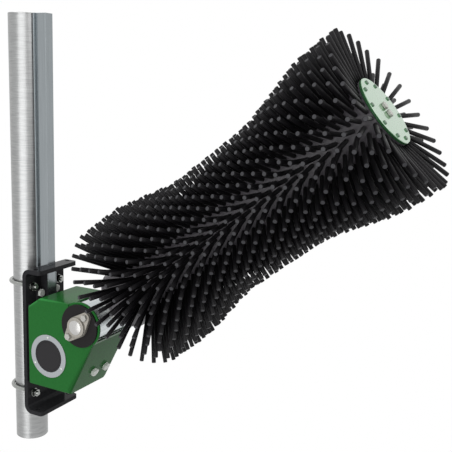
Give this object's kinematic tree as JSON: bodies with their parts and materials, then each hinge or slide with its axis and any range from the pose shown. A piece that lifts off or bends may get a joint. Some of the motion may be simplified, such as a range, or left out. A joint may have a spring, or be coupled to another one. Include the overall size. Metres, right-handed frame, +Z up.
{
  "type": "rotating cow brush",
  "caption": "Post-mounted rotating cow brush: bent bracket plate, painted pivot housing and a motor-driven hourglass bristle roller on a swinging arm.",
  "frame": {"origin": "on the post's axis, at the mid-height of the bracket plate", "axes": "+X from the post out through the bracket plate, +Y across it, +Z up along the post"},
  "size_m": [1.0067, 0.345, 1.0135],
  "materials": {
    "galvanised": "hot-dip galvanised, streaky",
    "zinc": "zinc-plated",
    "aluminium": "anodised, blue-grey satin",
    "black_coat": "black gloss coat",
    "green": "green gloss enamel",
    "brushed": "brushed along the drum",
    "steel": "plain turned steel",
    "cast": "cast, light paint",
    "rubber": "matt black",
    "silver": "satin sheet",
    "dark": "dark grey satin",
    "motor_paint": "grey machine paint",
    "bristle": "black nylon"
  },
  "bodies": {
    "stand": {"post": "galvanised", "bracket_plate": "black_coat", "u_bolt_upper": "zinc", "u_bolt_lower": "zinc", "u_washer_upper_near": "zinc", "u_washer_upper_far": "zinc", "u_washer_lower_near": "zinc", "u_washer_lower_far": "zinc", "u_nut_upper_near": "zinc", "u_nut_upper_far": "zinc", "u_nut_lower_near": "zinc", "u_nut_lower_far": "zinc", "duct_base": "aluminium", "duct_cover": "aluminium", "duct_guide": "black_coat", "back_plate": "black_coat", "mounting_bolt_near": "zinc", "mounting_bolt_far": "zinc", "housing_shell": "green", "stop_arm": "steel", "rest_buffer": "rubber", "upper_buffer": "rubber", "buffer_bolt_near": "zinc", "buffer_bolt_far": "zinc", "bearing_disc_near": "black_coat", "bearing_disc_far": "black_coat", "flange_bearing_near": "cast", "flange_bearing_far": "cast", "bearing_insert_near": "steel", "bearing_insert_far": "steel", "bearing_bolt_near_upper": "zinc", "bearing_bolt_near_lower": "zinc", "bearing_bolt_far_upper": "zinc", "bearing_bolt_far_lower": "zinc", "badge_ring": "silver", "badge_disc": "dark", "badge_rivet_1": "zinc", "badge_rivet_2": "zinc", "badge_rivet_3": "zinc"},
    "arm": {"drum_tube": "brushed", "drum_end_near": "steel", "drum_end_far": "steel", "pivot_shaft": "steel", "stop_lever": "steel", "arm_tube": "steel", "motor_mount": "steel", "motor_body": "motor_paint", "gearbox": "cast"},
    "brush": {"output_shaft": "steel", "drive_hub": "steel", "core_tube": "dark", "near_end_disc": "dark", "core_bearing": "steel", "far_end_disc": "green", "hub_bolt_upper": "zinc", "hub_bolt_lower": "zinc", "bristle_section_near": "bristle", "bristle_section_middle": "bristle", "bristle_section_far": "bristle"}
  },
  "joints": [
    {"name": "swing", "type": "hinge", "parent": "stand", "child": "arm", "pos_m": [0.2073, 0, 0.0703], "axis": [0, -1, 0], "range_deg": [0, 35]},
    {"name": "brush_spin", "type": "hinge", "parent": "arm", "child": "brush", "pos_m": [0.2073, 0, 0.0703], "axis": [0.7866, 0, 0.6174], "continuous": true}
  ]
}
